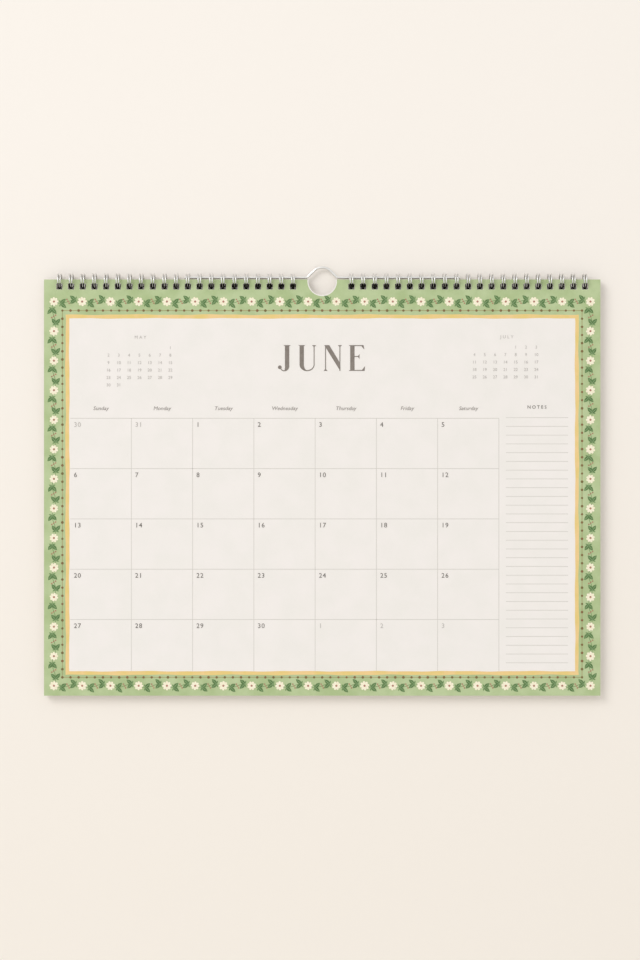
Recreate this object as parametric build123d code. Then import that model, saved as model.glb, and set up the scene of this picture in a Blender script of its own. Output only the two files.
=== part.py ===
from build123d import *
import math
import os

# A wire-bound wall calendar, open at a month in mid-year. All sizes are in millimetres.
# +Z is up, -Y faces the reader and +X is the reader's right.
# The origin is where a nail carries the calendar: under the crest of the hanger's kink.

os.makedirs("parts", exist_ok=True)

# Driving sizes: sheets
SHEET_WIDTH = 403.2
SHEET_HEIGHT = 301.6
LEAF_THICKNESS = 0.2
LEAVES_TO_COME = 7
LEAVES_TURNED = 5
COVER_THICKNESS = 0.3
BOARD_THICKNESS = 0.6

# Driving sizes: punching
PITCH = 25.4 / 3
CENTRE_GAP_PITCHES = 5
END_MARGIN = 10.0
HOLE_SIDE_CLEARANCE = 0.675
HOLE_MARGIN = 3.0
THUMB_RADIUS = 10.0
THUMB_CENTRE_DROP = 1.3

# Driving sizes: binding combs
RING_DIAMETER = 11.1
RING_SEAT = 0.65
LOOP_WIRE = 0.95
LOOP_WIDTH = 2.1
LOOP_TIP_WIDTH = 1.3
LINK_BEND = 0.9
LINK_LEAD = 0.09
SEAM_GAP = 0.15

# Driving sizes: hanger
HANGER_WIRE = 2.0
HANGER_LENGTH = 200.0
KINK_FOOT = 10.9
KINK_RISE = 7.3
KINK_ANGLE = 45.0
KINK_CREST_BEND = 7.5
KINK_FOOT_BEND = 2.5
ARM_CLEARANCE = 0.3
ARM_ANGLE = 36.0
ARM_HEIGHT_OVER_SHEETS = 0.67

# Rings seen from the side: the hanger's arms lie against the upper back of the rings
ring_radius = RING_DIAMETER / 2 - LOOP_WIRE / 2
arm_reach = RING_DIAMETER / 2 - LOOP_WIRE - HANGER_WIRE / 2 - ARM_CLEARANCE
arm_z = HANGER_WIRE / 2 - KINK_RISE
ring_y = -arm_reach * math.sin(math.radians(ARM_ANGLE))
ring_z = arm_z - arm_reach * math.cos(math.radians(ARM_ANGLE))

# Ring angles, counted from the bottom to the back, top and front. Each leg starts at its link,
# just behind the board, and ends in a hairpin tip that stops just short of the link's plane.
corner_reach = LINK_BEND + LINK_LEAD
corner_depth = SEAM_GAP + LOOP_WIRE / 2
corner_angle = math.asin(corner_depth / math.hypot(ring_radius, corner_reach))
leg_start_angle = math.degrees(corner_angle + math.atan2(corner_reach, ring_radius))
tip_reach = (LOOP_WIRE + LOOP_TIP_WIDTH) / 2
leg_end_angle = 360 - math.degrees(math.asin(tip_reach / ring_radius))

# Sheet heights: top edges just under the hanger's arms, holes that clear the rings on all sides
sheet_top_z = arm_z - HANGER_WIRE / 2 - ARM_HEIGHT_OVER_SHEETS
hole_top_z = sheet_top_z - HOLE_MARGIN
hole_bottom_z = ring_z - RING_DIAMETER / 2 - RING_SEAT
hole_height = hole_top_z - hole_bottom_z
hole_width = LOOP_WIDTH + LOOP_WIRE + 2 * HOLE_SIDE_CLEARANCE

# Sheet depths: the board's back is in the rings' middle plane, with the links behind it
board_front_y = ring_y - BOARD_THICKNESS
leaves_front_y = board_front_y - LEAVES_TO_COME * LEAF_THICKNESS
cover_front_y = ring_y + SEAM_GAP + LOOP_WIRE + SEAM_GAP
turned_front_y = cover_front_y + COVER_THICKNESS

# Columns of loops: as many each side as the sheet's width takes
side_room = SHEET_WIDTH / 2 - END_MARGIN - CENTRE_GAP_PITCHES * PITCH / 2
loops_per_comb = 1 + int(side_room / PITCH)
first_loop_x = CENTRE_GAP_PITCHES * PITCH / 2


def loop_columns(side):
    """X positions of one comb's loops from left to right; side is -1 or 1."""
    return sorted(side * (first_loop_x + i * PITCH) for i in range(loops_per_comb))


def sheet(front_y, thickness):
    """A punched sheet, or a pack of them, that reaches back from its front face."""
    face = Plane(origin=(0, front_y, 0), x_dir=(1, 0, 0), z_dir=(0, -1, 0))
    outline = Pos(0, sheet_top_z - SHEET_HEIGHT / 2) * Rectangle(SHEET_WIDTH, SHEET_HEIGHT)
    thumb_cut = Pos(0, sheet_top_z - THUMB_CENTRE_DROP) * Circle(THUMB_RADIUS)
    holes = [
        Pos(x, hole_bottom_z + hole_height / 2) * Rectangle(hole_width, hole_height)
        for side in (-1, 1)
        for x in loop_columns(side)
    ]
    return extrude(face * (outline - thumb_cut - holes), amount=-thickness)


def leg_point(angle):
    """A point on the left leg of a loop at x = 0; the legs close up towards the bottom."""
    turn = math.radians(angle)
    spread = (LOOP_WIDTH - LOOP_TIP_WIDTH) / 4
    x = -(LOOP_WIDTH + LOOP_TIP_WIDTH) / 4 + spread * math.cos(turn)
    y = ring_y + ring_radius * math.sin(turn)
    z = ring_z - ring_radius * math.cos(turn)
    return Vector(x, y, z)


def loop_path(x):
    """Wire centre of one double loop: link, leg round the ring, hairpin tip, leg, link."""
    middle_angle = (leg_start_angle + leg_end_angle) / 2
    leg = ThreePointArc(leg_point(leg_start_angle), leg_point(middle_angle), leg_point(leg_end_angle))
    tip_start = leg @ 1
    tip = TangentArc(tip_start, Vector(-tip_start.X, tip_start.Y, tip_start.Z), tangent=leg % 1)
    corner = leg @ 0 - (leg % 0) * corner_reach
    link_middle = Vector(-PITCH / 2, corner.Y, corner.Z)
    link = FilletPolyline(link_middle, corner, leg @ 0, radius=LINK_BEND)
    left_half = list(link.edges()) + [leg.edge()]
    right_half = [mirror(edge, about=Plane.YZ).edge() for edge in reversed(left_half)]
    return [Pos(x, 0, 0) * edge for edge in left_half + [tip.edge()] + right_half]


def comb(side):
    """One comb of double loops, bent from a single wire."""
    edges = [edge for x in loop_columns(side) for edge in loop_path(x)]
    start = edges[0] @ 0
    section = Plane(origin=start, z_dir=(1, 0, 0)) * Circle(LOOP_WIRE / 2)
    return sweep(section, path=Wire(edges))


def hanger():
    """A straight wire with a kink in the middle, which hooks over the nail."""
    half = HANGER_LENGTH / 2
    crest_half = KINK_FOOT - KINK_RISE / math.tan(math.radians(KINK_ANGLE))
    crest_z = arm_z + KINK_RISE
    wire_centre = FilletPolyline(
        (-half, 0, arm_z),
        (-KINK_FOOT, 0, arm_z),
        (-crest_half, 0, crest_z),
        (crest_half, 0, crest_z),
        (KINK_FOOT, 0, arm_z),
        (half, 0, arm_z),
        radius=(KINK_FOOT_BEND, KINK_CREST_BEND, KINK_CREST_BEND, KINK_FOOT_BEND),
    )
    section = Plane(origin=(-half, 0, arm_z), z_dir=(1, 0, 0)) * Circle(HANGER_WIRE / 2)
    return sweep(section, path=wire_centre.wire())


export_step(hanger(), "parts/hanger_wire.step")
export_step(comb(-1), "parts/left_comb.step")
export_step(comb(1), "parts/right_comb.step")
export_step(sheet(leaves_front_y, LEAVES_TO_COME * LEAF_THICKNESS), "parts/leaf_pack.step")
export_step(sheet(board_front_y, BOARD_THICKNESS), "parts/back_board.step")
export_step(sheet(cover_front_y, COVER_THICKNESS), "parts/front_cover.step")
export_step(sheet(turned_front_y, LEAVES_TURNED * LEAF_THICKNESS), "parts/turned_leaves.step")
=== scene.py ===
import math
import random

import bpy
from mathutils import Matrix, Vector
from mathutils.geometry import tessellate_polygon


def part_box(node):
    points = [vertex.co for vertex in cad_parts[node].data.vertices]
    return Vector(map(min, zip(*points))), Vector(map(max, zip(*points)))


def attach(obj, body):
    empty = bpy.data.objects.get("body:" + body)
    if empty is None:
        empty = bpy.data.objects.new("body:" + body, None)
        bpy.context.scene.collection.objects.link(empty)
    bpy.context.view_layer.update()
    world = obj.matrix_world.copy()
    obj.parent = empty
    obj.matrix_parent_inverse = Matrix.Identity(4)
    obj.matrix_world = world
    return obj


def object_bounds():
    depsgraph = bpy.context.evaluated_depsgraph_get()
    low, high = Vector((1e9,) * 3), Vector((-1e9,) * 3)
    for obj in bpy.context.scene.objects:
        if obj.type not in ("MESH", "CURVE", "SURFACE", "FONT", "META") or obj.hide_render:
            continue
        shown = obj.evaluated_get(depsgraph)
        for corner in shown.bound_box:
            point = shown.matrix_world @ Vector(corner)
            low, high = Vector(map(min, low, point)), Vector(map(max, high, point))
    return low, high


# Looks of the wall calendar. The print is a set of thin layers on the top leaf, laid out in
# page coordinates: millimetres right (u) and down (v) from the leaf's top left corner.
# Sizes are in millimetres, apart from those of the stage and the materials' grain, in metres.

MM = 0.001

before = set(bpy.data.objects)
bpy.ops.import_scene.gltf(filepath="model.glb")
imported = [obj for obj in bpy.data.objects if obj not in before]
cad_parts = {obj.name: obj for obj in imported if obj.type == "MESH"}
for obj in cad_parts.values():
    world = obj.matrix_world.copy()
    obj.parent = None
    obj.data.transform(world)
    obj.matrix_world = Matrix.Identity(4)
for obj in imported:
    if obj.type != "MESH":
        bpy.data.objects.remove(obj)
cad_low, cad_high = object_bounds()
random.seed(21)

# The top leaf, from the frame
leaf_low, leaf_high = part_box("leaf_pack")
PAGE_W = (leaf_high.x - leaf_low.x) / MM
PAGE_H = (leaf_high.z - leaf_low.z) / MM
PAGE_FRONT = leaf_low.y
LEAF_THICKNESS = 0.2

# Its punching
PITCH = 25.4 / 3
LOOPS = 21
CENTRE_GAP_PITCHES = 5
HOLE_W = 4.4
HOLE_TOP, HOLE_BOTTOM = 3.0, 7.2
THUMB_RADIUS, THUMB_DROP = 10.0, 1.3

# Heights of the print's layers over the paper, and small steps between neighbouring shapes
GROUND, STRIPE, STEMS, LEAVES, RIBS, PETALS, EYES, INK = (0.02 * level for level in range(1, 9))
SHAPE_STEP, SHAPE_STEPS = 0.0015, 7

# The green ground stops a little short of the cuts
HOLE_RIM = 0.1
THUMB_RIM = 0.7

# Border: bead line, stripe and garland
BEAD_INSET, BEAD_TOP = 13.3, 22.5
BEAD_SPACING, BEAD_RADIUS, BEAD_SPREAD, BEAD_LINE = 5.93, 0.95, (0.85, 1.1), 0.6
STRIPE_INSET, STRIPE_FOOT, STRIPE_TOP, STRIPE_W = 17.0, 16.4, 26.8, 2.7
STRIPE_STEP, LONG_WAVE, SHORT_WAVE, SHORT_WAVE_SHARE = 3.0, 9.0, 3.7, 0.6
VINE_INSET, VINE_TOP = 7.2, 16.0
VINE_SWING, VINE_LINE, VINE_STEPS = 1.3, 0.4, 16
MOTIF_SPACING = 21.0
ROSETTE_RADIUS, ROSETTE_SPREAD, PETAL_COUNT, PETAL_STEPS = 3.3, (0.93, 1.05), 8, 6
PETAL_DEPTH, PETAL_ROUNDNESS, EYE_SHARE = 0.3, 0.6, 0.24
LEAF_PAIRS = ((0.24, 0.0), (0.76, math.pi))
LEAF_LENGTHS, LEAF_W, LEAF_FULLNESS = (4.6, 5.2), 2.7, 0.85
LEAF_TURNS, RIB_LINE, RIB_SHARE = (0.6, 0.8), 0.22, 0.8
SPRIG_LENGTH, SPRIG_W, SPRIG_TURN = 2.6, 1.0, 1.9
BERRY_RADIUS = 0.55
BERRIES = ((0.46, -1.5), (0.5, 0.2), (0.54, 1.9))

# Month grid and notes
GRID_LEFT, GRID_TOP = 18.9, 100.6
CELL_W, CELL_H = 44.39, 36.45
COLUMNS, ROWS = 7, 5
RULE_W = 0.42
NOTES_LEFT, NOTES_RIGHT, NOTES_LINES, NOTES_STEP = 334.7, 379.8, 29, 6.345
NOTES_TOP, NOTES_RULE_W = GRID_TOP - 0.5, 0.9 * RULE_W

# Lettering: heights of capitals, and places of their middles
DATE_U, DATE_V, DATE_CAP, DATE_TRACKING = 2.7, 4.5, 3.3, 1.15
WEEKDAY_V, WEEKDAY_CAP, WEEKDAY_SLANT, WEEKDAY_WIDTH = 93.3, 2.6, 0.22, 1.04
NOTES_TITLE_U, NOTES_TITLE_V, NOTES_TITLE_CAP, NOTES_TITLE_TRACKING = 357.2, 92.4, 2.3, 1.5
SMALL_TITLE_CAP, SMALL_TITLE_TRACKING, SMALL_DAY_CAP = 2.2, 1.6, 2.1
SMALL_COLUMN, SMALL_ROW = 7.47, 5.4
TITLE_TOP, TITLE_BOTTOM = 47.6, 66.2
STEM_W, HAIR_W = 3.1, 0.62
SERIF_NECK, SERIF_DEPTH = 0.45, 0.9

# Shade on the rings where they dip into the holes: its edge against the holes' top, and its softness
SHADE_ABOVE, SHADE_BELOW, SHADE_SOFTNESS = 0.5, 0.3, 0.6

# Stage, in metres
STAGE_REACH, FLOOR_Z, WALL_GAP = 4.0, -1.4, 0.0001
# Heights between which painted shade darkens the wall downwards
WALL_SHADE_LOW, WALL_SHADE_HIGH = -0.45, 0.1
WORLD_LIGHT, WORLD_SEEN = 0.72, 0.92
LAMP_PLACE, LAMP_AIM = (-3.0, -4.0, 2.6), (0.0, 0.0, -0.15)
LAMP_SIZE, LAMP_WATTS = 3.0, 120.0
CAMERA_DISTANCE, VIEW_HEIGHT = 1.8, 0.6957
AIM_LEFT, AIM_UP = 0.0016, 0.0055

# Material grain, in metres
MATT_GRAIN, GRAIN_HEIGHT, MATT_ROUGHNESS, MATT_SHINE = 2500.0, 0.00005, 0.85, 0.15
STREAKS, STREAK_STRETCH, STREAK_BUMP, STREAK_HEIGHT = 900.0, (0.2, 1, 1), 0.08, 0.00002
LUMP_LOW, LUMP_HIGH = 0.35, 0.65
# Share of each leaf's thickness darkened by the painted shade between leaves
LEAF_GAP_SHADE_SHARE = 0.22


def linear(*rgb):
    """A colour given in 0 to 255 display values, as Blender wants it."""
    def one(value):
        share = value / 255
        return share / 12.92 if share <= 0.04045 else ((share + 0.055) / 1.055) ** 2.4
    return tuple(one(value) for value in rgb) + (1.0,)


# ---------------------------------------------------------------- materials

class Shading:
    """A node tree, with short ways to add the nodes that the looks need.

    A value or a colour can be given as such, or as another node's output.
    """

    def __init__(self, tree):
        self.nodes, self.links = tree.nodes, tree.links

    def put(self, socket, value):
        if isinstance(value, bpy.types.NodeSocket):
            self.links.new(value, socket)
        else:
            socket.default_value = value

    def axes(self):
        """The place in the object's own space, as X, Y and Z outputs."""
        place = self.nodes.new("ShaderNodeTexCoord")
        split = self.nodes.new("ShaderNodeSeparateXYZ")
        self.put(split.inputs["Vector"], place.outputs["Object"])
        return split.outputs

    def noise(self, scale, detail=4.0, stretch=(1, 1, 1)):
        """Noise in the object's own space, in lumps of 1 / scale metres."""
        place = self.nodes.new("ShaderNodeTexCoord")
        mapping = self.nodes.new("ShaderNodeMapping")
        noise = self.nodes.new("ShaderNodeTexNoise")
        self.put(mapping.inputs["Vector"], place.outputs["Object"])
        self.put(mapping.inputs["Scale"], stretch)
        self.put(noise.inputs["Vector"], mapping.outputs["Vector"])
        self.put(noise.inputs["Scale"], scale)
        self.put(noise.inputs["Detail"], detail)
        return noise.outputs["Fac"]

    def calculate(self, operation, *values, clamp=False):
        node = self.nodes.new("ShaderNodeMath")
        node.operation = operation
        node.use_clamp = clamp
        for socket, value in zip(node.inputs, values):
            self.put(socket, value)
        return node.outputs["Value"]

    def ramp(self, value, low, high, at_low=0.0, at_high=1.0):
        """at_low to at_high as the value goes from low to high, and level beyond them."""
        node = self.nodes.new("ShaderNodeMapRange")
        self.put(node.inputs["Value"], value)
        self.put(node.inputs["From Min"], low)
        self.put(node.inputs["From Max"], high)
        self.put(node.inputs["To Min"], at_low)
        self.put(node.inputs["To Max"], at_high)
        return node.outputs["Result"]

    def mix(self, factor, first, second):
        """A colour from first to second as the factor goes from 0 to 1."""
        node = self.nodes.new("ShaderNodeMix")
        node.data_type = "RGBA"
        self.put(node.inputs["Factor"], factor)
        self.put(node.inputs["A"], first)
        self.put(node.inputs["B"], second)
        return node.outputs["Result"]

    def bump(self, height, strength, distance):
        node = self.nodes.new("ShaderNodeBump")
        self.put(node.inputs["Height"], height)
        self.put(node.inputs["Strength"], strength)
        self.put(node.inputs["Distance"], distance)
        return node.outputs["Normal"]


def new_material(name):
    """A material with its node tree and its shader."""
    material = bpy.data.materials.new(name)
    material.use_nodes = True
    return material, Shading(material.node_tree), material.node_tree.nodes["Principled BSDF"]


def matt(name, first, second, lump=60.0, bump=0.05):
    """Paper, card or ink: two near colours in soft lumps over a fine grain."""
    material, shading, shader = new_material(name)
    lumps = shading.ramp(shading.noise(lump), LUMP_LOW, LUMP_HIGH)
    grain = shading.noise(MATT_GRAIN, detail=2.0)
    shading.put(shader.inputs["Base Color"], shading.mix(lumps, first, second))
    shading.put(shader.inputs["Normal"], shading.bump(grain, bump, GRAIN_HEIGHT))
    shading.put(shader.inputs["Roughness"], MATT_ROUGHNESS)
    shading.put(shader.inputs["Specular IOR Level"], MATT_SHINE)
    return material


def steel(name, first, second, roughness):
    """Drawn steel wire with faint streaks."""
    material, shading, shader = new_material(name)
    streaks = shading.noise(STREAKS, stretch=STREAK_STRETCH)
    colour = shading.mix(shading.ramp(streaks, LUMP_LOW, LUMP_HIGH), first, second)
    shading.put(shader.inputs["Base Color"], colour)
    shading.put(shader.inputs["Normal"], shading.bump(streaks, STREAK_BUMP, STREAK_HEIGHT))
    shading.put(shader.inputs["Metallic"], 1.0)
    shading.put(shader.inputs["Roughness"], roughness)
    return material


def shade_over(material, factor, shade):
    """Mixes a shade over a material's colour, by a factor made in its node tree."""
    colour = material.node_tree.nodes["Principled BSDF"].inputs["Base Color"]
    shading = Shading(material.node_tree)
    shading.put(colour, shading.mix(factor, colour.links[0].from_socket, shade))
    return material


def layered(material, shade):
    """Adds painted shade: thin dark lines in the gaps between leaves, seen on the cut edges only."""
    shading = Shading(material.node_tree)
    leaves = shading.calculate("MULTIPLY", shading.axes()["Y"], 1 / (LEAF_THICKNESS * MM))
    line = shading.calculate("LESS_THAN", shading.calculate("FRACT", leaves), LEAF_GAP_SHADE_SHARE)
    return shade_over(material, line, shade)


def shaded_in_holes(material, shade):
    """Darkens the front of the rings from the holes' upper edge down, where little light gets in."""
    shading = Shading(material.node_tree)
    axes = shading.axes()
    middle_y = (cad_low[1] + cad_high[1]) / 2
    top_z = leaf_high.z - HOLE_TOP * MM
    down = shading.ramp(axes["Z"], top_z + SHADE_ABOVE * MM, top_z - SHADE_BELOW * MM)
    forward = shading.ramp(axes["Y"], middle_y + SHADE_SOFTNESS * MM, middle_y - SHADE_SOFTNESS * MM)
    return shade_over(material, shading.calculate("MULTIPLY", down, forward), shade)


PAPER = matt("leaf_paper", linear(243, 238, 234), linear(240, 236, 231))
# The leaves' paper, with painted shade in the gaps between leaves on its cut edges
LEAF_PAPER = layered(PAPER, shade=linear(205, 200, 192))
COVER_CARD = matt("cover_card", linear(240, 235, 227), linear(235, 230, 221))
BOARD = matt("grey_board", linear(200, 192, 178), linear(184, 176, 162), lump=400.0, bump=0.2)
BRIGHT_WIRE = steel("comb_wire", linear(226, 225, 222), linear(208, 207, 205), 0.33)
COMB_WIRE = shaded_in_holes(BRIGHT_WIRE, shade=linear(24, 23, 22))
HANGER_WIRE = steel("hanger_steel", linear(238, 237, 234), linear(222, 221, 219), 0.3)
SAGE = matt("sage_ink", linear(190, 205, 160), linear(174, 192, 142), lump=70.0, bump=0.08)
YELLOW = matt("yellow_ink", linear(241, 207, 148), linear(232, 205, 130), lump=120.0)
DARK_LEAF = matt("leaf_ink", linear(90, 122, 76), linear(110, 140, 92), lump=700.0)
LIGHT_LEAF = matt("sprig_ink", linear(108, 140, 92), linear(126, 156, 106), lump=500.0)
RIB = matt("rib_ink", linear(160, 182, 138), linear(150, 174, 130), lump=500.0)
CREAM = matt("petal_ink", linear(250, 244, 222), linear(244, 234, 206), lump=500.0)
EYE = matt("eye_ink", linear(164, 116, 100), linear(186, 134, 112), lump=900.0)
BEADS = matt("bead_ink", linear(122, 112, 72), linear(142, 108, 78), lump=300.0)
BEAD_THREAD = matt("thread_ink", linear(158, 160, 112), linear(176, 164, 122), lump=200.0)
RULE = matt("rule_ink", linear(208, 204, 197), linear(214, 210, 204))
TITLE = matt("title_ink", linear(132, 124, 117), linear(142, 134, 127), lump=300.0)
FIGURES = matt("figure_ink", linear(112, 107, 102), linear(122, 117, 112), lump=300.0)
NAMES = matt("name_ink", linear(150, 144, 139), linear(158, 152, 147), lump=300.0)
PALE_FIGURES = matt("pale_ink", linear(188, 184, 179), linear(196, 192, 187), lump=300.0)


# ---------------------------------------------------------------- outlines

def beside(start, end, distance, offset):
    """The point at a distance along the line from start to end, and offset to its side."""
    length = math.dist(start, end)
    along_u, along_v = (end[0] - start[0]) / length, (end[1] - start[1]) / length
    return (
        start[0] + along_u * distance - along_v * offset,
        start[1] + along_v * distance + along_u * offset,
    )


def area(loop):
    """Signed area, above 0 for a loop that runs anticlockwise as the reader sees it."""
    total = 0
    for (u0, v0), (u1, v1) in zip(loop, loop[1:] + loop[:1]):
        total += u1 * v0 - u0 * v1
    return total / 2


def rectangle(left, top, right, bottom):
    return [(left, top), (left, bottom), (right, bottom), (right, top)]


def sides(left, top, right, bottom):
    """A rectangle's four sides as (start, end), from the left one round by the bottom."""
    corners = rectangle(left, top, right, bottom)
    return zip(corners, corners[1:] + corners[:1])


def arc(centre, radii, start, end, steps):
    """Points on an ellipse with radii across and down, at angles from +u towards +v."""
    angles = [start + (end - start) * i / steps for i in range(steps + 1)]
    return [(centre[0] + radii[0] * math.cos(a), centre[1] + radii[1] * math.sin(a)) for a in angles]


def circle(centre, radius, steps):
    return arc(centre, (radius, radius), 0, 2 * math.pi, steps)[:-1]


def blade(root, length, width, turn, fullness=1.0):
    """A pointed leaf from its stalk at root, turned from +u towards +v."""
    steps = 8
    shares = [i / steps for i in range(steps + 1)]
    side = [(length * share, width / 2 * math.sin(math.pi * share ** fullness)) for share in shares]
    outline = side + [(along, -across) for along, across in side[-2:0:-1]]
    cos, sin = math.cos(turn), math.sin(turn)
    return [(root[0] + a * cos - c * sin, root[1] + a * sin + c * cos) for a, c in outline]


def rosette(centre, radius, turn):
    """A flower with round petals."""
    steps = PETAL_COUNT * PETAL_STEPS
    points = []
    for i in range(steps):
        angle = 2 * math.pi * i / steps
        swell = abs(math.cos(PETAL_COUNT * angle / 2)) ** PETAL_ROUNDNESS
        reach = radius * (1 - PETAL_DEPTH + PETAL_DEPTH * swell)
        across, down = reach * math.cos(angle + turn), reach * math.sin(angle + turn)
        points.append((centre[0] + across, centre[1] + down))
    return points


# ---------------------------------------------------------------- print

def on_page(u, v, height):
    """Page coordinates and a height over the paper as a place in the frame."""
    return (leaf_low.x + u * MM, PAGE_FRONT - height * MM, leaf_high.z - v * MM)


def lettering(text, align="CENTER", tracking=1.0, slant=0.0):
    """A closed mesh of the text, 2 units thick about z = 0."""
    curve = bpy.data.curves.new("words", "FONT")
    curve.body = text
    curve.align_x = align
    curve.space_character = tracking
    curve.shear = slant
    curve.resolution_u = 3
    curve.extrude = 1.0
    obj = bpy.data.objects.new("words", curve)
    bpy.context.scene.collection.objects.link(obj)
    bpy.context.view_layer.update()
    mesh = bpy.data.meshes.new_from_object(obj.evaluated_get(bpy.context.evaluated_depsgraph_get()))
    bpy.data.objects.remove(obj)
    bpy.data.curves.remove(curve)
    return mesh


def cap_height():
    """Height of the font's capitals in its own units."""
    mesh = lettering("H")
    top = max(vert.co.y for vert in mesh.vertices)
    bpy.data.meshes.remove(mesh)
    return top


CAP_OF_FONT = cap_height()


class Print:
    """Shapes of one ink, gathered into one piece that lies on the top leaf.

    Neighbouring shapes differ a little in height, so that no two share a plane where they cross.
    """

    def __init__(self, height):
        self.height = height
        self.shapes = 0
        self.verts = []
        self.faces = []

    def shape(self, outline, gaps=()):
        """A filled slab inside the outline and outside its gaps."""
        loops = [outline, *gaps]
        flat = [point for loop in loops for point in loop]
        first, count = len(self.verts), len(flat)
        height = self.height + SHAPE_STEP * (self.shapes % SHAPE_STEPS)
        self.shapes += 1
        self.verts += [on_page(u, v, height) for u, v in flat]
        self.verts += [on_page(u, v, 0) for u, v in flat]
        for a, b, c in tessellate_polygon([[Vector((u, -v, 0)) for u, v in loop] for loop in loops]):
            if area([flat[a], flat[b], flat[c]]) < 0:
                a, c = c, a
            self.faces.append((first + a, first + b, first + c))
            self.faces.append((first + count + c, first + count + b, first + count + a))
        start = first
        for number, loop in enumerate(loops):
            outward = (area(loop) > 0) == (number == 0)
            self.edge(start, len(loop), count, outward)
            start += len(loop)

    def edge(self, start, size, below, outward):
        """The slab's side faces along one loop; below leads from a point to the one under it."""
        for i in range(size):
            a, b = start + i, start + (i + 1) % size
            quad = (a, a + below, b + below, b)
            self.faces.append(quad if outward else quad[::-1])

    def line(self, start, end, width):
        length = math.dist(start, end)
        self.shape([
            beside(start, end, 0, width / 2),
            beside(start, end, length, width / 2),
            beside(start, end, length, -width / 2),
            beside(start, end, 0, -width / 2),
        ])

    def words(self, text, u, v, cap, widen=1.0, **style):
        """Lettering whose capitals are cap high, with v at the capitals' middle."""
        mesh = lettering(text, **style)
        scale = cap / CAP_OF_FONT
        first = len(self.verts)
        for vert in mesh.vertices:
            height = self.height if vert.co.z > 0 else 0
            across, up = vert.co.x * scale * widen, vert.co.y * scale
            self.verts.append(on_page(u + across, v + cap / 2 - up, height))
        for polygon in mesh.polygons:
            self.faces.append(tuple(first + i for i in polygon.vertices))
        bpy.data.meshes.remove(mesh)

    def piece(self, name, material):
        mesh = bpy.data.meshes.new(name)
        mesh.from_pydata(self.verts, [], self.faces)
        mesh.materials.append(material)
        mesh.update()
        obj = bpy.data.objects.new(name, mesh)
        bpy.context.scene.collection.objects.link(obj)
        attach(obj, "leaves")


# ---------------------------------------------------------------- border

def hole_columns():
    """Middles of the holes across the page, outwards from the centre, the left row first."""
    first = CENTRE_GAP_PITCHES * PITCH / 2
    return [PAGE_W / 2 + side * (first + i * PITCH) for side in (-1, 1) for i in range(LOOPS)]


def thumb_notch():
    """The ground's outline along the thumb cut, left to right, with a rim of bare paper."""
    radius = THUMB_RADIUS + THUMB_RIM
    dip = math.asin(THUMB_DROP / radius)
    return arc((PAGE_W / 2, THUMB_DROP), (radius, radius), math.pi + dip, -dip, steps=40)


def ground():
    outline = [(0, 0)] + thumb_notch() + [(PAGE_W, 0), (PAGE_W, PAGE_H), (0, PAGE_H)]
    field = rectangle(STRIPE_INSET, STRIPE_TOP, PAGE_W - STRIPE_INSET, PAGE_H - STRIPE_FOOT)
    half = HOLE_W / 2 + HOLE_RIM
    top, bottom = HOLE_TOP - HOLE_RIM, HOLE_BOTTOM + HOLE_RIM
    holes = [rectangle(u - half, top, u + half, bottom) for u in hole_columns()]
    layer = Print(GROUND)
    layer.shape(outline, gaps=[field] + holes)
    layer.piece("sage_ground", SAGE)


def wavering(grow, sway, phase):
    """The stripe's middle line grown by grow, as a hand would draw it."""
    left, top = STRIPE_INSET - grow, STRIPE_TOP - grow
    points = []
    for start, end in sides(left, top, PAGE_W - left, PAGE_H - STRIPE_FOOT + grow):
        points.append(start)
        length = math.dist(start, end)
        steps = int(length / STRIPE_STEP)
        for i in range(1, steps):
            along = length * i / steps
            long_wave = math.sin(along / LONG_WAVE + phase)
            short_wave = SHORT_WAVE_SHARE * math.sin(along / SHORT_WAVE + 2 * phase)
            points.append(beside(start, end, along, -sway * (long_wave + short_wave)))
    return points


def stripe():
    layer = Print(STRIPE)
    outer = wavering(STRIPE_W / 2, sway=0.22, phase=0.4)
    inner = wavering(-STRIPE_W / 2, sway=0.18, phase=2.1)
    layer.shape(outer, gaps=[inner])
    layer.piece("yellow_stripe", YELLOW)


def bead_line():
    beads, thread = Print(STEMS), Print(STRIPE)
    for start, end in sides(BEAD_INSET, BEAD_TOP, PAGE_W - BEAD_INSET, PAGE_H - BEAD_INSET):
        thread.line(start, end, BEAD_LINE)
        length = math.dist(start, end)
        count = round(length / BEAD_SPACING)
        for i in range(count):
            radius = BEAD_RADIUS * random.uniform(*BEAD_SPREAD)
            beads.shape(circle(beside(start, end, length * i / count, 0), radius, steps=10))
    thread.piece("bead_thread", BEAD_THREAD)
    beads.piece("beads", BEADS)


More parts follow.
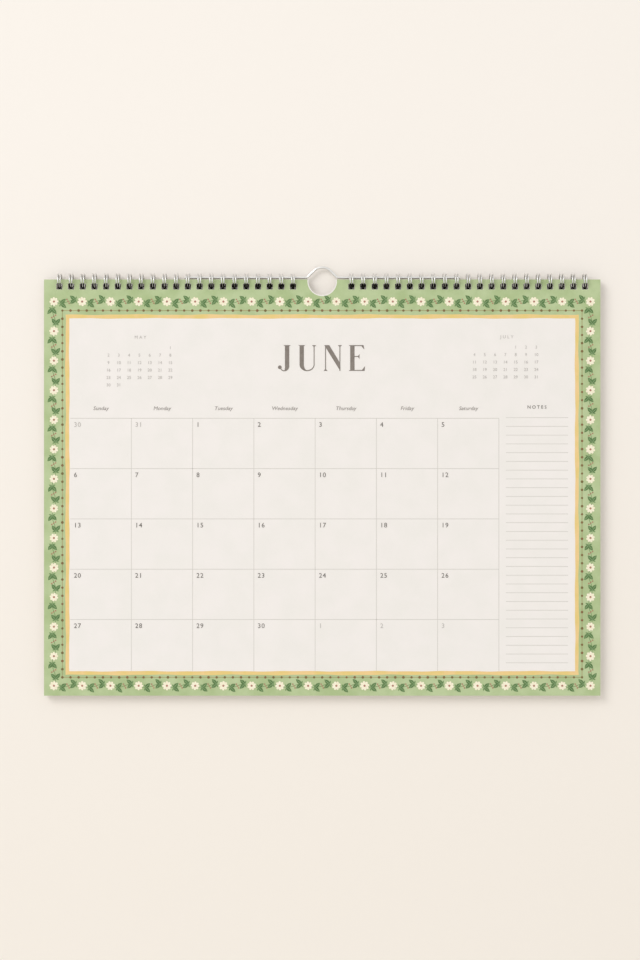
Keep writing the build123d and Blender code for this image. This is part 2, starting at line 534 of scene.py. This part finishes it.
class Garland:
    """The garland's inks, and the motifs that are drawn with them."""

    def __init__(self):
        self.stems, self.leaves, self.sprigs = Print(STEMS), Print(LEAVES), Print(LEAVES)
        self.ribs, self.petals, self.eyes = Print(RIBS), Print(PETALS), Print(EYES)

    def stem(self, points):
        for start, end in zip(points, points[1:]):
            self.stems.line(start, end, VINE_LINE)

    def flower(self, centre):
        radius = ROSETTE_RADIUS * random.uniform(*ROSETTE_SPREAD)
        self.petals.shape(rosette(centre, radius, random.uniform(0, math.pi)))
        self.eyes.shape(circle(centre, EYE_SHARE * ROSETTE_RADIUS, steps=10))

    def leaf_pair(self, root, heading):
        """Two leaves that open forwards from the stem, each with a small sprig behind it."""
        for side in (-1, 1):
            turn = heading + side * random.uniform(*LEAF_TURNS)
            length = random.uniform(*LEAF_LENGTHS)
            self.leaves.shape(blade(root, length, LEAF_W, turn, LEAF_FULLNESS))
            reach = RIB_SHARE * length
            tip = (root[0] + reach * math.cos(turn), root[1] + reach * math.sin(turn))
            self.ribs.line(root, tip, RIB_LINE)
            self.sprigs.shape(blade(root, SPRIG_LENGTH, SPRIG_W, heading + side * SPRIG_TURN))

    def berry(self, centre):
        self.eyes.shape(circle(centre, BERRY_RADIUS, steps=8))

    def finish(self):
        self.stems.piece("vine_stems", LIGHT_LEAF)
        self.leaves.piece("vine_leaves", DARK_LEAF)
        self.sprigs.piece("vine_sprigs", LIGHT_LEAF)
        self.ribs.piece("leaf_ribs", RIB)
        self.petals.piece("rosettes", CREAM)
        self.eyes.piece("rosette_eyes", EYE)


def garland_side(garland, start, end):
    """A winding stem: a rosette, a pair of leaves, three berries, a pair of leaves, and again."""
    length = math.dist(start, end)
    heading = math.atan2(end[1] - start[1], end[0] - start[0])
    motifs = round(length / MOTIF_SPACING)
    step = length / motifs

    def place(share, sideways=0.0):
        """A place share motifs along the side, sideways from the stem."""
        offset = sideways + VINE_SWING * math.sin(2 * math.pi * share)
        return beside(start, end, share * step, offset)

    garland.stem([place(i / VINE_STEPS) for i in range(motifs * VINE_STEPS + 1)])
    for i in range(motifs):
        garland.flower(place(i))
        for share, turn in LEAF_PAIRS:
            garland.leaf_pair(place(i + share), heading + turn)
        for share, sideways in BERRIES:
            garland.berry(place(i + share, sideways))


def vine():
    garland = Garland()
    for start, end in sides(VINE_INSET, VINE_TOP, PAGE_W - VINE_INSET, PAGE_H - VINE_INSET):
        garland_side(garland, start, end)
    garland.finish()


# ---------------------------------------------------------------- month

def month_grid():
    rules = Print(GROUND)
    bottom = PAGE_H - STRIPE_FOOT - STRIPE_W / 2
    right = GRID_LEFT + CELL_W * COLUMNS
    for column in range(1, COLUMNS + 1):
        u = GRID_LEFT + CELL_W * column
        rules.line((u, GRID_TOP), (u, bottom), RULE_W)
    for row in range(ROWS):
        v = GRID_TOP + CELL_H * row
        rules.line((GRID_LEFT, v), (right, v), RULE_W)
    for number in range(NOTES_LINES):
        v = NOTES_TOP + NOTES_STEP * number
        rules.line((NOTES_LEFT, v), (NOTES_RIGHT, v), NOTES_RULE_W)
    rules.piece("ruled_lines", RULE)


def dates():
    """Thirty days from Tuesday, with the days of the months before and after in a paler ink."""
    before, own, after = [30, 31], list(range(1, 31)), [1, 2, 3]
    dark, pale = Print(INK), Print(INK)
    for index, day in enumerate(before + own + after):
        row, column = divmod(index, COLUMNS)
        layer = dark if 0 <= index - len(before) < len(own) else pale
        u = GRID_LEFT + CELL_W * column + DATE_U
        v = GRID_TOP + CELL_H * row + DATE_V
        layer.words(str(day), u, v, DATE_CAP, align="LEFT", tracking=DATE_TRACKING)
    dark.piece("day_figures", FIGURES)
    pale.piece("other_day_figures", PALE_FIGURES)


def small_month(layer, title, title_place, sunday_place, first_column, days):
    """A month in small figures; sunday_place is the first row's first column."""
    layer.words(title, *title_place, SMALL_TITLE_CAP, tracking=SMALL_TITLE_TRACKING)
    for day in range(1, days + 1):
        row, column = divmod(day - 1 + first_column, COLUMNS)
        u = sunday_place[0] + SMALL_COLUMN * column
        v = sunday_place[1] + SMALL_ROW * row
        layer.words(str(day), u, v, SMALL_DAY_CAP)


def headings():
    pale = Print(INK)
    small_month(pale, "MAY", (69.8, 41.8), (46.7, 49.4), first_column=6, days=31)
    small_month(pale, "JULY", (335.4, 41.5), (311.9, 49.0), first_column=4, days=31)
    pale.piece("small_months", PALE_FIGURES)
    names = Print(INK)
    weekdays = ("Sunday", "Monday", "Tuesday", "Wednesday", "Thursday", "Friday", "Saturday")
    for column, name in enumerate(weekdays):
        u = GRID_LEFT + CELL_W * (column + 0.5)
        names.words(name, u, WEEKDAY_V, WEEKDAY_CAP, widen=WEEKDAY_WIDTH, slant=WEEKDAY_SLANT)
    names.piece("weekday_names", NAMES)
    notes = Print(INK)
    notes.words("NOTES", NOTES_TITLE_U, NOTES_TITLE_V, NOTES_TITLE_CAP, tracking=NOTES_TITLE_TRACKING)
    notes.piece("notes_heading", FIGURES)


# ---------------------------------------------------------------- the month's large capitals
# Thick and hairline strokes. Each letter is drawn from its left edge, and turns are quarter ellipses.

QUARTER, HALF = math.pi / 2, math.pi


def serif(layer, u, v, half, up):
    """A short slab at the end of a stroke; up is -1 at the top and 1 at the foot."""
    neck, neck_v = half * SERIF_NECK, v - up * SERIF_DEPTH
    layer.shape([(u - half, v), (u + half, v), (u + neck, neck_v), (u - neck, neck_v)])


def bowl(layer, centre, outer, inner, start, end):
    """A bent stroke between two ellipses, each given as its radii across and down."""
    there = arc(centre, outer, start, end, steps=18)
    back = arc(centre, inner, end, start, steps=18)
    layer.shape(there + back)


def upright(layer, left, width, bottom=TITLE_BOTTOM):
    layer.shape(rectangle(left, TITLE_TOP, left + width, bottom))


def letter_j(layer, left):
    """A stem that turns into a thin hook with a ball at its end."""
    stem, hook_v, hook_reach = left + 5.2, TITLE_BOTTOM - 3.4, 3.7
    hook = (stem + STEM_W - hook_reach, hook_v)
    ball, ball_radius = (left + 1.5, TITLE_BOTTOM - 2.6), 1.35
    upright(layer, stem, STEM_W, bottom=hook_v)
    serif(layer, stem + STEM_W / 2, TITLE_TOP, 2.7, -1)
    bowl(layer, hook, (hook_reach, hook_reach), (0.65, 3.2), 0, QUARTER)
    bowl(layer, hook, (3.2, hook_reach), (2.6, 3.0), QUARTER, HALF * 0.93)
    layer.shape(circle(ball, ball_radius, steps=20))


def letter_u(layer, left):
    """A stem and a hairline joined by a round foot."""
    stem, width = left + 0.9, 10.2
    hairline = stem + width
    reach, turn_depth, turn_inner = (width + HAIR_W) / 2, 4.8, 4.1
    turn = (stem + reach, TITLE_BOTTOM - 4.6)
    upright(layer, stem, STEM_W, bottom=turn[1])
    upright(layer, hairline, HAIR_W, bottom=turn[1])
    serif(layer, stem + STEM_W / 2, TITLE_TOP, 2.5, -1)
    serif(layer, hairline + HAIR_W / 2, TITLE_TOP, 1.5, -1)
    bowl(layer, turn, (reach, turn_depth), (reach - HAIR_W, turn_inner), 0, QUARTER)
    bowl(layer, turn, (reach, turn_depth), (reach - STEM_W, turn_inner), QUARTER, HALF)


def letter_n(layer, left):
    """Two hairlines and a thick diagonal that comes to a point at the foot."""
    first, width = left + 0.9, 10.4
    last = first + width
    right = last + HAIR_W
    upright(layer, first, HAIR_W)
    upright(layer, last, HAIR_W)
    layer.shape([
        (first - 0.6, TITLE_TOP),
        (first + 3.0, TITLE_TOP),
        (right, TITLE_BOTTOM - 5.4),
        (right, TITLE_BOTTOM + 0.2),
    ])
    serif(layer, first + HAIR_W / 2, TITLE_BOTTOM, 1.4, 1)
    serif(layer, last + HAIR_W / 2, TITLE_TOP, 1.4, -1)


def letter_e(layer, left):
    """A stem with three hairline bars that end in wedges."""
    stem, right, bar = left + 0.7, left + 10.9, left + 2.0
    serif_u = stem + STEM_W / 2 - 0.4
    middle = (TITLE_TOP + TITLE_BOTTOM) / 2 - 1.1
    top_end, middle_end, foot_end = right - 0.6, right - 3.5, right + 0.2
    upright(layer, stem, STEM_W)
    serif(layer, serif_u, TITLE_TOP, 2.3, -1)
    serif(layer, serif_u, TITLE_BOTTOM, 2.3, 1)
    layer.shape(rectangle(bar, TITLE_TOP, top_end, TITLE_TOP + HAIR_W))
    layer.shape([(top_end - 2.0, TITLE_TOP), (top_end, TITLE_TOP), (right, TITLE_TOP + 3.2)])
    layer.shape(rectangle(bar, middle - HAIR_W / 2, middle_end - 0.1, middle + HAIR_W / 2))
    layer.shape([(middle_end - 1.3, middle), (middle_end, middle - 1.7), (middle_end, middle + 1.7)])
    layer.shape(rectangle(bar, TITLE_BOTTOM - HAIR_W, right, TITLE_BOTTOM))
    layer.shape([
        (foot_end - 2.4, TITLE_BOTTOM),
        (foot_end, TITLE_BOTTOM),
        (foot_end + 0.3, TITLE_BOTTOM - 3.4),
    ])


def month_title():
    layer = Print(INK)
    letter_j(layer, 169.4)
    letter_u(layer, 184.3)
    letter_n(layer, 202.8)
    letter_e(layer, 221.2)
    layer.piece("month_title", TITLE)


# ---------------------------------------------------------------- stage

# The wall's colour at the top, and at the foot with painted shade
WALL_LIT, WALL_SHADED = linear(248, 242, 235), linear(245, 238, 229)
# Painted shade on the wall behind the rows of holes
HOLE_SHADE = linear(40, 38, 35)
FLOOR_LIGHT, FLOOR_DARK = linear(244, 240, 232), linear(241, 237, 229)
WHITE, BACKDROP = (1.0, 1.0, 1.0, 1.0), linear(255, 249, 241)


def wall_colour(shading):
    """Painted shade: a little darker downwards, where less light falls, and a band of deep painted shade
    right behind the rows of holes.
    """
    axes = shading.axes()
    # Painted shade: the wall's colour darkens downwards
    height = shading.ramp(axes["Z"], WALL_SHADE_LOW, WALL_SHADE_HIGH)
    falloff_shade = shading.mix(height, WALL_SHADED, WALL_LIT)
    # Painted shade: a dark band on the wall right behind the rows of holes
    row = [(u - PAGE_W / 2) * MM for u in hole_columns() if u > PAGE_W / 2]
    row_middle, row_half = (row[0] + row[-1]) / 2, (row[-1] - row[0] + HOLE_W * MM) / 2
    holes_z = leaf_high.z - (HOLE_TOP + HOLE_BOTTOM) / 2 * MM
    band_half = (HOLE_BOTTOM - HOLE_TOP) * MM
    aside = shading.calculate("ABSOLUTE", axes["X"])
    in_row = shading.calculate("COMPARE", aside, row_middle, row_half)
    in_band = shading.calculate("COMPARE", axes["Z"], holes_z, band_half)
    return shading.mix(shading.calculate("MULTIPLY", in_row, in_band), falloff_shade, HOLE_SHADE)


def seen_rays(shading):
    """1 for rays from the camera or from a mirror-like surface, else 0; and 1 for the camera's alone."""
    path = shading.nodes.new("ShaderNodeLightPath")
    from_camera, from_gloss = path.outputs["Is Camera Ray"], path.outputs["Is Glossy Ray"]
    return shading.calculate("MAXIMUM", from_camera, from_gloss), from_camera


def wall_material():
    """Plaster seen from the front only, so that views from behind the wall still show the calendar."""
    material = bpy.data.materials.new("stage_wall")
    material.use_nodes = True
    shading = Shading(material.node_tree)
    shading.nodes.clear()
    out = shading.nodes.new("ShaderNodeOutputMaterial")
    plaster = shading.nodes.new("ShaderNodeBsdfDiffuse")
    clear = shading.nodes.new("ShaderNodeBsdfTransparent")
    mix = shading.nodes.new("ShaderNodeMixShader")
    side = shading.nodes.new("ShaderNodeNewGeometry")
    seen, _ = seen_rays(shading)
    front = shading.calculate("SUBTRACT", seen, side.outputs["Backfacing"], clamp=True)
    shading.put(plaster.inputs["Color"], wall_colour(shading))
    shading.put(mix.inputs["Fac"], front)
    shading.put(mix.inputs[1], clear.outputs["BSDF"])
    shading.put(mix.inputs[2], plaster.outputs["BSDF"])
    shading.put(out.inputs["Surface"], mix.outputs["Shader"])
    return material


def stage_plane(name, corners, material):
    mesh = bpy.data.meshes.new(name)
    mesh.from_pydata(corners, [], [(0, 1, 2, 3)])
    mesh.materials.append(material)
    obj = bpy.data.objects.new(name, mesh)
    bpy.context.scene.collection.objects.link(obj)


def stage():
    """A wall just behind the rings, and a floor well below."""
    wall_y = cad_high[1] + WALL_GAP
    wall = [
        (-STAGE_REACH, wall_y, FLOOR_Z),
        (STAGE_REACH, wall_y, FLOOR_Z),
        (STAGE_REACH, wall_y, STAGE_REACH),
        (-STAGE_REACH, wall_y, STAGE_REACH),
    ]
    floor = [
        (-STAGE_REACH, -STAGE_REACH, FLOOR_Z),
        (STAGE_REACH, -STAGE_REACH, FLOOR_Z),
        (STAGE_REACH, STAGE_REACH, FLOOR_Z),
        (-STAGE_REACH, STAGE_REACH, FLOOR_Z),
    ]
    stage_plane("wall", wall, wall_material())
    stage_plane("floor", floor, matt("stage_floor", FLOOR_LIGHT, FLOOR_DARK))


def lights():
    """A soft lamp from the upper left, and an even world that looks like the wall."""
    world = bpy.data.worlds.new("studio")
    bpy.context.scene.world = world
    world.use_nodes = True
    shading = Shading(world.node_tree)
    background = shading.nodes["Background"]
    seen, from_camera = seen_rays(shading)
    shading.put(background.inputs["Color"], shading.mix(from_camera, WHITE, BACKDROP))
    shading.put(background.inputs["Strength"], shading.ramp(seen, 0.0, 1.0, WORLD_LIGHT, WORLD_SEEN))
    lamp = bpy.data.lights.new("window", "AREA")
    lamp.shape = "RECTANGLE"
    lamp.size = LAMP_SIZE
    lamp.size_y = LAMP_SIZE
    lamp.energy = LAMP_WATTS
    obj = bpy.data.objects.new("window", lamp)
    obj.location = LAMP_PLACE
    aim = Vector(LAMP_AIM) - Vector(LAMP_PLACE)
    obj.rotation_euler = aim.to_track_quat("-Z", "Y").to_euler()
    bpy.context.scene.collection.objects.link(obj)


def camera():
    """Straight in front of the page, nearly at its middle."""
    data = bpy.data.cameras.new("camera")
    data.sensor_fit = "VERTICAL"
    data.angle = 2 * math.atan(VIEW_HEIGHT / 2 / CAMERA_DISTANCE)
    obj = bpy.data.objects.new("camera", data)
    page_middle = (leaf_low.z + leaf_high.z) / 2
    obj.location = (-AIM_LEFT, PAGE_FRONT - CAMERA_DISTANCE, page_middle + AIM_UP)
    obj.rotation_euler = (math.pi / 2, 0, 0)
    bpy.context.scene.collection.objects.link(obj)
    bpy.context.scene.camera = obj


def finish_cad():
    """Materials of the carried-over CAD pieces."""
    looks = {
        "hanger_wire": HANGER_WIRE,
        "left_comb": COMB_WIRE,
        "right_comb": COMB_WIRE,
        "leaf_pack": LEAF_PAPER,
        "back_board": BOARD,
        "front_cover": COVER_CARD,
        "turned_leaves": LEAF_PAPER,
    }
    for node, material in looks.items():
        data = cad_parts[node].data
        data.materials.clear()
        data.materials.append(material)


finish_cad()
ground()
stripe()
bead_line()
vine()
month_grid()
dates()
headings()
month_title()
stage()
lights()
camera()
bpy.context.scene.view_settings.view_transform = "Standard"
